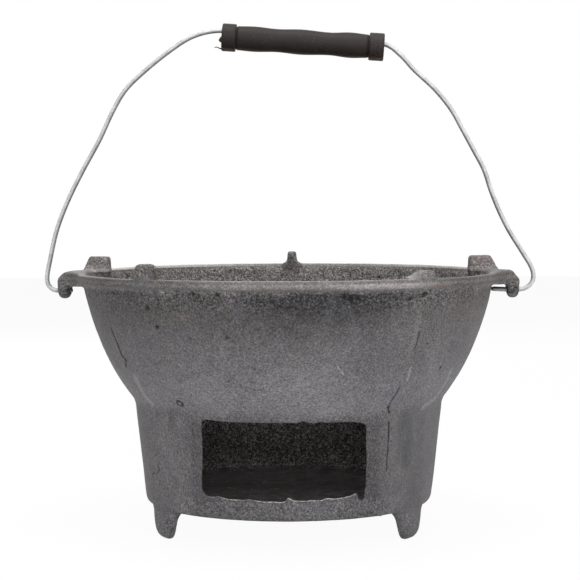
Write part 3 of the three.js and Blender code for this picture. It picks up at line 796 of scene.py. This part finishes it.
def cast_iron(name, dark, light):
    """Grey iron as it left the sand: mottled, pitted, rust-warm on top, sooty and darkened by painted
    shade below the lip, lightened by painted light on the lower bowl, with painted highlights on the
    crease and the rear lip's edge, and painted shade beside the door.
    """
    material, place = new_material(name)
    x, y, z = (place.part(axis) * (1 / mm) for axis in "XYZ")
    inside = place.node("ShaderNodeAttribute", {"attribute_name": "inner_face"}, output=2)
    outside = 1 - inside
    clouds = place.cloud(38 * mm, 3, 0.55)
    blotches = place.cloud(8 * mm, 3, 0.6)
    lumps = place.cloud(3 * mm, 2, 0.6)
    sand = place.cloud(1.2 * mm, 2, 0.75)
    swirl = {"Vector": place, "Scale": 1 / wander_size}
    wander = place.node("ShaderNodeTexNoise", inputs=swirl, output=1).vector("SUBTRACT", (0.5, 0.5, 0.5))
    ragged = place.vector("ADD", wander.vector("MULTIPLY", [wander_reach] * 3))

    # The casting's zones, from heights and places in millimetres.
    below_lip = outside * (1 - z.between(165.6, 167))
    off_centre = abs(x - 24 + (160 - z) * 0.8)
    facing = 1 - off_centre.between(20, 62) * 0.5 - x.between(62, 84) * 0.14
    front = 1 - y.between(-60, 20) * 0.4
    cove = (z + (blotches - 0.5) * 7).between(162.6, 166.4) * below_lip
    # Soot and painted shade: the upper bowl darkens up towards the lip's underside, most at the front
    # middle, as the lip shades it.
    soot_and_painted_shade = z.between(120, 170) * below_lip * facing * front
    rough_band = z.between(150, 161) * below_lip
    # Painted light: the lower bowl is lightened in the tone, as by light from the floor beneath it.
    low_bowl = z.between(84, 92) * (1 - z.between(98, 126)) * outside
    drum_side = (1 - z.between(84, 90)) * outside
    shaded_side = (
        x.between(24, 56) * (1 - x.between(84, 94)) * (1 - y.between(-50, 0))
        * (1 - z.between(120, 138)) * outside
    )
    base_front = (1 - z.between(30.5, 33.5)) * (1 - y.between(-78, -56)) * outside
    feet = (1 - z.between(16, 19)) * outside
    rests = z.between(173.4, 175)
    end_rests = rests * abs(x).between(100, 115)
    # Painted highlight: the rear lip's top edge is lightened where the overhead light catches it, most at
    # the left.
    rear_edge = z.between(171.7, 172.3) * y.between(0, 40) * (1 - rests)
    rear_glint = 0.08 + (0 - x).between(5, 95) * 0.38 + x.between(40, 105) * 0.22
    lip_top = z.between(169.6, 171.2) * outside * (1 - rests)
    lip_face = z.between(165.8, 167.4) * outside * (1 - rests)
    lip_wear = 1 - abs(x - 20).between(45, 105)
    lip_shine = 1 - place.away_from(Vector((64, -125, 169)) * mm).between(12 * mm, 42 * mm)
    deep_inside = inside * (1 - z.between(84, 99))
    ash_floor = deep_inside * (1 - z.between(26.6, 29))
    off_door = abs(x) - 51
    # Painted shade: the drum's face is darkened beside the door's sides.
    door_side_shade = (
        ((1 - off_door.between(6.5, 10)) * 0.6 + (1 - off_door.between(10, 17)) * 0.4)
        * (1 - y.between(-60, -40)) * (1 - z.between(78, 90)) * outside
    )

    # What the sand and the mould left in the skin, and painted highlights along the bowl's crease.
    pit_patches = place.cloud(11 * mm).between(0.42, 0.6)
    pits = (1 - place.cells(3.4 * mm, (1, 1, 1.7)).between(0.12, 0.36)) * pit_patches
    pitting = pits * (rough_band * 0.85 + inside * 0.7 + rests * 0.6 + 0.07)
    lone_patches = place.cloud(30 * mm).between(0.5, 0.62)
    lone_pits = (1 - place.cells(9 * mm).between(0.05, 0.13)) * lone_patches * outside
    sunk = 0.0
    for spot, reach, depth in dimples:
        away = ragged.away_from(Vector(spot) * mm)
        sunk = (1 - away.between(0.3 * reach * mm, 1.9 * reach * mm)) * depth + sunk
    ring = abs(place.away_from(Vector(ring_pit) * mm) - ring_mark_radius * mm)
    sunk = (sunk + (1 - ring.between(0.3 * mm, 1.4 * mm)) * 0.85).lowest(1) * outside
    dark_marks = marked(ragged, dark_lines) * outside
    pale_marks_and_painted_highlights = marked(ragged, pale_lines_and_painted_highlights) * outside
    ash_streaks = place.cloud(3.4 * mm, 4, 0.7, (0.45, 1, 1))

    # The plain grey of the skin is a tone of about a half, and equal steps of tone look alike.
    grain = (
        0.75
        + low_bowl * 0.2
        + lip_face * 0.12
        + rough_band * 0.55
        + inside
        + rests * 0.65
        + feet * 0.4
        + base_front * 0.22
        + drum_side * (0.12 - x.between(50, 80) * 0.4)
        + deep_inside * 0.8
    )
    tone = (
        plain_tone
        + (clouds - 0.5) * 0.15
        + (blotches - 0.5) * 0.14
        + (lumps - 0.5) * (0.11 + rough_band * 0.2 + inside * 0.45 + rests * 0.3 + base_front * 0.2)
        + (sand - 0.5) * grain
        - soot_and_painted_shade * 0.26
        + cove * (0.05 + facing * 0.18)
        + low_bowl * 0.085
        + drum_side * 0.02
        + base_front * 0.058
        + feet * 0.03
        + end_rests * 0.11
        + rear_edge * rear_glint
        - inside * 0.015
        - rests * 0.03
        - shaded_side * 0.04
        - door_side_shade * 0.11
        # On the lip's face the rise with height is painted light: lighter at its top, darker at its
        # underside.
        + lip_face * (lip_wear * 0.12 + lip_shine * 0.14 + z.between(167.2, 170) * 0.09 - 0.067)
        - lip_top * (lip_shine * 0.12 + lip_wear * 0.05 + 0.1)
        - pitting * 0.31
        - lone_pits * 0.16
        - sunk * 0.42
        - dark_marks * 0.5
        + pale_marks_and_painted_highlights * 0.45
        - deep_inside * 0.11
    ).highest(0) * (1 - ash_floor * (0.62 - (ash_streaks - 0.5) * 2.2))
    value = tone * tone
    brown = [(*(part * cast for part, cast in zip(colour, brown_cast)), 1) for colour in (dark, light)]
    cold, warm = (
        place.node("ShaderNodeMix", {"data_type": "RGBA"}, {0: value, 6: darkest, 7: lightest}, 2)
        for darkest, lightest in ((dark, light), brown)
    )
    warm_sides = abs(x - 22).between(30, 70) * z.between(128, 150) * outside
    warmth = (
        place.cloud(21 * mm, 2).between(0.5, 0.7) * 0.25
        + (lip_face + rests + inside).lowest(1) * 0.7
        + warm_sides * below_lip * 0.45
    )
    coolness = place.cloud(17 * mm, 2).between(0.52, 0.72) * 0.14 + low_bowl * 0.08
    colour = (
        cold.tinted(warmth, warm)
        .tinted(coolness * outside, cool_tint)
        .tinted(marked(ragged, blue_lines) * outside, blue_tint)
        .tinted(marked(ragged, rust_lines) * blotches.between(0.35, 0.6), rust_tint)
    )
    roughness = 0.66 + (sand - 0.5) * 0.3 - lip_face * lip_wear * 0.14
    height = (
        (sand - 0.5) * (0.14 + (rough_band + inside).lowest(1) * 0.14) * mm
        + (lumps - 0.5) * (0.2 + (rough_band * 0.4 + inside + rests).lowest(1) * 0.4) * mm
        + (blotches - 0.5) * 0.25 * mm
        - (pitting + lone_pits + sunk + dark_marks) * 0.35 * mm
    )
    return coat_with(material, place.node("ShaderNodeBsdfPrincipled", inputs={
        "Base Color": colour, "Roughness": roughness, "Metallic": 0.06, "Specular IOR Level": 0.22,
        "Normal": place.bumped(height),
    }))


casting.data.materials.append(cast_iron("cast_iron", iron_dark, iron_light))
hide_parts("stove_body")
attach(casting, "stove")


# The sill's flash: a thin fin of iron that ran out between the core and the mould, along the lower
# outer edge of the air door. It was knocked off by hand, which left it ragged and bright.
sill_radius = 97.2
flash_thickness = 0.56
flash_dark = (0.16, 0.153, 0.15, 1)
flash_middle = (0.46, 0.45, 0.445, 1)
flash_light = (0.72, 0.71, 0.7, 1)
wire_roundness = 6
# Rows: across, up, and the share of the full thickness.
flash_rows = [
    (-48.5, 33.7, 0.4), (-46.4, 33.4, 0.8), (-45, 33.5, 0.5), (-42.4, 34.4, 0.3), (-38.4, 33.4, 0.7),
    (-36, 33, 1), (-34, 32.9, 0.9), (-30, 32.8, 1), (-28.6, 33, 0.4), (-25.8, 32.8, 0.4),
    (-22.6, 33.5, 0.3), (-18, 32.9, 0.6), (-15.4, 32.6, 0.5), (-13.4, 32.3, 0.9), (-10.4, 32.2, 0.7),
    (-7.4, 32.4, 0.9), (-4, 32.1, 1), (-1, 32.2, 0.9), (0.8, 32.6, 0.5), (2.4, 34.8, 0.5),
    (3.4, 34.4, 0.9), (5.2, 33.2, 1), (7, 33, 0.7), (9.2, 32.9, 0.4), (12.4, 32.8, 0.7),
    (14.6, 32.8, 1), (17, 33.1, 0.8), (19.4, 32.8, 1), (23.4, 32.9, 0.9), (25.6, 33.8, 0.8),
    (28, 33.9, 1), (30.6, 33.5, 0.9), (34, 33.6, 1), (37.6, 34, 0.9), (41.4, 34.6, 0.8),
    (44, 35.6, 0.8), (45.4, 36.1, 0.5),
]


def drawn_wire(name, path, radius, shares):
    """A round wire along a path in millimetres, with its share of the full radius at each point."""
    curve = bpy.data.curves.new(name, "CURVE")
    curve.dimensions = "3D"
    curve.bevel_depth = radius * mm
    curve.bevel_resolution = wire_roundness
    curve.use_fill_caps = True
    spline = curve.splines.new("POLY")
    spline.points.add(len(path) - 1)
    for point, place, share in zip(spline.points, path, shares):
        point.co = (*(place * mm), 1)
        point.radius = share
    drawn = shown(curve, name + "_line")
    mesh = bpy.data.meshes.new_from_object(drawn.evaluated_get(bpy.context.evaluated_depsgraph_get()))
    bpy.data.objects.remove(drawn)
    shape = bmesh.new()
    shape.from_mesh(mesh)
    piece = finished(shape, name)
    piece.data.shade_smooth()
    return piece


def worn_iron():
    """Freshly broken iron: bright where it was knocked off, grey in its bites."""
    material, place = new_material("worn_iron")
    bite = place.cloud(1.6 * mm, 3, 0.7)
    stops = [(0.0, flash_dark), (0.5, flash_middle), (1.0, flash_light)]
    colour = place.node("ShaderNodeValToRGB", {"stops": stops}, {0: bite.between(0.33, 0.68)})
    return coat_with(material, place.node("ShaderNodeBsdfPrincipled", inputs={
        "Base Color": colour, "Roughness": 0.5 - (bite - 0.5) * 0.3, "Metallic": 0.3,
        "Normal": place.bumped((bite - 0.5) * 0.2 * mm),
    }))


flash_path = [Vector((x, -math.sqrt(sill_radius ** 2 - x ** 2), z)) for x, z, share in flash_rows]
flash = drawn_wire("sill_flash", flash_path, flash_thickness / 2, [share for x, z, share in flash_rows])
flash.data.materials.append(worn_iron())
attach(flash, "stove")


# The fire grate: a loose cast disc with nine rows of slots, dropped in from above. Its tapered edge
# rests where the bowl narrows, so it is a rougher and darker casting, made in an open mould.
grate_grain = 1.5 * mm
grate_waves = [(17, 0.14), (4, 0.16)]
grate_sink = 0.22
sooty_dark = (0.0085, 0.0078, 0.0074, 1)
sooty_light = (0.3, 0.282, 0.268, 1)
grate_shape = bmesh.new()
grate_shape.from_mesh(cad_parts["fire_grate"].data)
grate = worked(
    finished(grate_shape, "slotted_grate"),
    ("REMESH", {"mode": "VOXEL", "voxel_size": grate_grain}),
    ("SMOOTH", {"factor": 0.5, "iterations": 3}),
)
weathered(
    grate,
    lambda place: Vector((0, 0, 0)),
    lambda place: uneven(place, grate_waves, grate_sink) * mm,
)
grate.data.shade_smooth()
marked_inside(grate, lambda place: True)
grate.data.materials.append(cast_iron("sooty_iron", sooty_dark, sooty_light))
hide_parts("fire_grate")
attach(grate, "grate")


# The bail: one length of galvanised wire, 3.2 mm thick, bent by hand. Its cut ends are hooked
# through the ears, and its middle runs through the hand grip, higher at the left end.
wire_radius = 1.56
hinge_height = 160.6
left_stub_end = -145.6
right_stub_end = 137.4
right_stub_rise = 0.4
cut_end_share = 0.75
foot_reach = ear_reach + 0.5
grip_offset = 11.05
grip_height = 326.92
grip_length = 108.9
grip_tilt = math.radians(3.9)
wire_bend_share = 0.009
wire_rise_left = 4.2
wire_rise_right = 1.9
# Points of each leg, as shares of the way from its foot to the grip's end: over, and up.
left_leg_shares = [
    (-0.03, 0.0075), (-0.051, 0.025), (-0.056, 0.051), (-0.037, 0.119), (0.006, 0.236), (0.077, 0.352),
    (0.168, 0.468), (0.267, 0.583), (0.353, 0.699), (0.427, 0.776), (0.552, 0.853), (0.694, 0.925),
    (0.799, 0.969), (0.879, 0.9895), (0.949, 0.9985),
]
right_leg_shares = [
    (-0.051, 0.0085), (-0.088, 0.027), (-0.101, 0.051), (-0.09, 0.085), (-0.01, 0.16), (0.083, 0.242),
    (0.158, 0.325), (0.218, 0.407), (0.268, 0.489), (0.347, 0.571), (0.428, 0.653), (0.512, 0.735),
    (0.631, 0.816), (0.79, 0.898), (0.889, 0.957),
]
wire_steps = 12


def grip_axis_point(share, rise=0.0):
    """A point over the grip's axis, which runs down to the right, at a share of its length."""
    along = (share - 0.5) * grip_length
    return Vector((
        grip_offset + along * math.cos(grip_tilt) + rise * math.sin(grip_tilt),
        0,
        grip_height - along * math.sin(grip_tilt) + rise * math.cos(grip_tilt),
    ))


def leg(foot, head, shares):
    """The points of one leg of the wire, between its foot and its head."""
    return [
        Vector((foot.x + over * (head.x - foot.x), 0, foot.z + up * (head.z - foot.z)))
        for over, up in shares
    ]


def through(points, steps):
    """A smooth line through every point, with tighter bends between close points."""
    first = 2 * points[0] - points[1]
    last = 2 * points[-1] - points[-2]
    line = []
    for before, start, end, after in zip([first, *points], points, points[1:], [*points[2:], last]):
        spans = ((before, start), (start, end), (end, after))
        gaps = [max((b - a).length, weld) ** 0.5 for a, b in spans]
        bends = ((before, start, end, *gaps[:2]), (start, end, after, *gaps[1:]))
        slopes = [
            ((b - a) / gap_in - (c - a) / (gap_in + gap_out) + (c - b) / gap_out) * gaps[1]
            for a, b, c, gap_in, gap_out in bends
        ]
        pulls = (start + slopes[0] / 3, end - slopes[1] / 3)
        line += interpolate_bezier(start, *pulls, end, steps + 1)[:-1]
    return [*line, points[-1]]


left_head = grip_axis_point(-wire_bend_share, wire_rise_left)
right_head = grip_axis_point(1 + wire_bend_share, wire_rise_right)
left_foot = Vector((-foot_reach, 0, hinge_height))
right_foot = Vector((foot_reach, 0, hinge_height))
wire_path = through([
    Vector((left_stub_end, 0, hinge_height)),
    left_foot,
    *leg(left_foot, left_head, left_leg_shares),
    left_head,
    left_head.lerp(right_head, 0.5),
    right_head,
    *reversed(leg(right_foot, right_head, right_leg_shares)),
    right_foot,
    Vector((right_stub_end, 0, hinge_height + right_stub_rise)),
], wire_steps)
wire_shares = [cut_end_share, *[1] * (len(wire_path) - 2), cut_end_share]
wire = drawn_wire("bail_wire_bent", wire_path, wire_radius, wire_shares)

zinc_dark = (0.44, 0.44, 0.44, 1)
zinc_light = (0.6, 0.6, 0.6, 1)
stove_side_shade_grey = (0.04, 0.04, 0.04, 1)
soot_and_shade_black = (0.02, 0.02, 0.02, 1)
stove_middle = (0, 0, 0.1)


def zinc():
    """Frosted zinc, darkened by painted shade on the side that faces the stove, and sooty and darkened by
    painted shade where it sits in the ears.
    """
    material, place = new_material("zinc")
    x, z = (place.part(axis) * (1 / mm) for axis in "XZ")
    frost = place.cloud(7 * mm, 2)
    outwards = place.node("ShaderNodeTexCoord", output=1)
    from_stove = place.vector("SUBTRACT", stove_middle).vector("NORMALIZE")
    # Painted shade on the side of the wire that faces the stove.
    stove_side_shade = (0 - outwards.vector("DOT_PRODUCT", from_stove, 1)).between(-0.25, 0.65)
    near_ear = 1 - abs(x).between(149, 153)
    over_hinge = z - hinge_height
    # Soot and painted shade on the wire just above its hinge by the ears, which shade it.
    soot_and_painted_shade = near_ear * over_hinge.between(-0.6, 0.9) * (1 - over_hinge.between(3, 6))
    stops = [(0.0, zinc_dark), (1.0, zinc_light)]
    bare = place.node("ShaderNodeValToRGB", {"stops": stops}, {0: frost.between(0.3, 0.7)})
    colour = bare.tinted(stove_side_shade * 0.62, stove_side_shade_grey).tinted(soot_and_painted_shade * 0.9, soot_and_shade_black)
    return coat_with(material, place.node("ShaderNodeBsdfPrincipled", inputs={
        "Base Color": colour, "Roughness": 0.5 + (frost - 0.5) * 0.2, "Metallic": 0.15,
        "Specular IOR Level": 0.4, "Normal": place.bumped((frost - 0.5) * 0.05 * mm),
    }))


wire.data.materials.append(zinc())
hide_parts("bail_wire")
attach(wire, "bail")


# The hand grip: a brown plastic sleeve moulded in two halves and threaded on the wire before it was
# bent. It has a collar at each end, three soft swells, and a thin flash line along its joint.
collar_radius = 9.3
left_collar_length = 9.4
right_collar_length = 10.1
collar_rounding = 1.1
groove_width = 0.7
groove_radius = 7.4
bore_radius = 6.1
bore_steps = 24
swell_steps = 8
grip_turn_steps = 72
# Rows: share of the barrel's length, and radius.
swell_rows = [(0, 8), (0.14, 8.45), (0.305, 7.7), (0.49, 8.45), (0.71, 7.6), (0.86, 8.5), (1, 7.75)]
barrel_start = left_collar_length + groove_width
barrel_length = grip_length - barrel_start - groove_width - right_collar_length
swells = through(
    [Vector((radius, barrel_start + share * barrel_length, 0)) for share, radius in swell_rows],
    swell_steps,
)


def collar(length):
    """One end of the sleeve and the groove beside it, as (radius, distance from that end) points."""
    return [
        Vector((bore_radius, 0)),
        *bend((collar_radius - collar_rounding, 0), (collar_radius, 0), (collar_radius, collar_rounding),
              round_steps),
        *[Vector((collar_radius, length * share)) for share in (0.3, 0.5, 0.7)],
        *bend((collar_radius, length - collar_rounding), (collar_radius, length),
              (groove_radius + collar_rounding, length), round_steps),
        Vector((groove_radius, length)),
        Vector((groove_radius, length + groove_width - 0.2)),
    ]


bore_wall = [
    Vector((bore_radius, grip_length * step / bore_steps)) for step in range(bore_steps - 1, -1, -1)
]
grip_shape = bmesh.new()
turned(grip_shape, [
    *collar(left_collar_length),
    *[point.xy for point in swells],
    *[Vector((point.x, grip_length - point.y)) for point in reversed(collar(right_collar_length))],
    *bore_wall,
], grip_turn_steps)

# What the moulder left on: a lump on the left collar's outer face, and a curl of flash under it.
lump_radius = 2.5
lump_shares = (0.85, 1, 0.7)
lump_place = (2.6, -7, 0.5)
lump_waves = 1.7
lump_wave_height = 0.5
lump = bmesh.ops.create_icosphere(grip_shape, subdivisions=3, radius=1)["verts"]
for vert in lump:
    swell = 1 + lump_wave_height * noise.noise(vert.co * lump_waves)
    squashed = Vector(part * share for part, share in zip(vert.co, lump_shares))
    vert.co = squashed * lump_radius * swell * mm
bmesh.ops.translate(grip_shape, verts=lump, vec=Vector(lump_place) * mm)
grip_place = (
    Matrix.Translation(Vector((grip_offset, 0, grip_height)) * mm)
    @ Matrix.Rotation(grip_tilt, 4, "Y")
    @ Matrix.Rotation(math.pi / 2, 4, "Y")
    @ Matrix.Translation(Vector((0, 0, -grip_length / 2)) * mm)
)
bmesh.ops.transform(grip_shape, matrix=grip_place, verts=grip_shape.verts)
curl_radius = 0.55
curl_nearness = -4.4
curl_start = grip_axis_point(0)
# Rows: out from the end, up from the axis, and the share of the full radius.
curl_rows = [(0.4, -8.2, 1), (-1.2, -8, 0.8), (-2.6, -7.2, 0.6), (-3.8, -7, 0.6), (-5, -7.4, 0.35)]
curl_path = [curl_start + Vector((out, curl_nearness, up)) for out, up, share in curl_rows]
curl = drawn_wire("curl", curl_path, curl_radius, [share for out, up, share in curl_rows])
grip_shape.from_mesh(curl.data)
bpy.data.objects.remove(curl)
grip = finished(grip_shape, "hand_grip_sleeve")
grip.data.shade_smooth()

plastic_dark = (0.0075, 0.0052, 0.0045, 1)
plastic_light = (0.03, 0.022, 0.019, 1)
scuff_grey = (0.09, 0.077, 0.066, 1)
flash_brown = (0.1, 0.072, 0.045, 1)


def brown_plastic():
    """Brown plastic, mottled and scuffed, with a rough right collar and a paler flash line below."""
    material, place = new_material("brown_plastic")
    x, z = (place.part(axis) * (1 / mm) for axis in "XZ")
    patches = place.cloud(14 * mm, 2)
    grain = place.cloud(1.1 * mm, 2, 0.6)
    scuffs = (1 - place.cells(3.6 * mm).between(0.08, 0.26)) * place.cloud(13 * mm).between(0.45, 0.62)
    rough_collar = x.between(56, 57)
    below_axis = grip_height - z - (x - grip_offset) * math.tan(grip_tilt)
    flash_line = below_axis.between(7.2, 8) * grain.between(0.36, 0.52)
    tone = 0.4 + rough_collar * 0.24 + (patches - 0.5) * 0.5 + (grain - 0.5) * (0.6 + rough_collar * 2.4)
    stops = [(0.0, plastic_dark), (1.0, plastic_light)]
    clean = place.node("ShaderNodeValToRGB", {"stops": stops}, {0: tone.between(0, 1)})
    colour = clean.tinted(scuffs * 0.3, scuff_grey).tinted(flash_line * 0.6, flash_brown)
    height = (grain - 0.5) * (0.07 + rough_collar * 0.2) * mm + (patches - 0.5) * 0.1 * mm
    return coat_with(material, place.node("ShaderNodeBsdfPrincipled", inputs={
        "Base Color": colour, "Roughness": 0.6 + (grain - 0.5) * 0.2, "Specular IOR Level": 0.22,
        "Normal": place.bumped(height),
    }))


grip.data.materials.append(brown_plastic())
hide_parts("hand_grip")
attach(grip, "grip")
